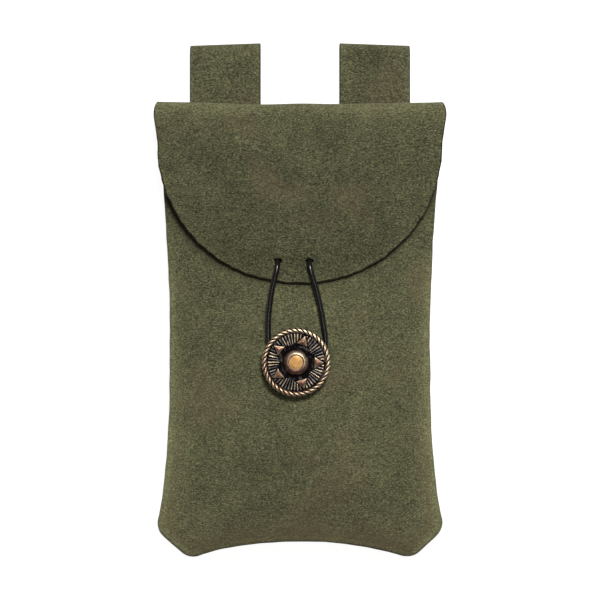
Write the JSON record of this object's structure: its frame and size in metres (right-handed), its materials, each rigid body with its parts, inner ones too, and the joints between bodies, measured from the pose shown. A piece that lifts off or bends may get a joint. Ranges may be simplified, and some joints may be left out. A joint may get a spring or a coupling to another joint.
{
  "type": "medieval belt pouch",
  "caption": "Suede belt pouch with a round fold-over flap, closed by a cord loop over a cast button, and belt loops behind.",
  "frame": {"origin": "middle of the pouch's underside, on the surface that it lies on, halfway between its sides and between the hem and the tops of the belt loops", "axes": "+Y from the hem to the belt loops, +Z out of the front, away from the surface, +X to the right of someone who looks at the front"},
  "size_m": [0.1146, 0.2028, 0.035],
  "materials": {
    "suede": "olive suede, matt, with a short nap",
    "cord_leather": "black round cord, half gloss",
    "antique_brass": "antique brass, dark in its recesses and worn bright on top"
  },
  "bodies": {
    "root": {"back_panel_flap": "suede", "front_panel": "suede", "belt_loop_left": "suede", "belt_loop_right": "suede", "closure_cord": "cord_leather", "cord_knot_left": "cord_leather", "cord_knot_right": "cord_leather", "concho": "antique_brass", "concho_post": "antique_brass"}
  },
  "joints": []
}
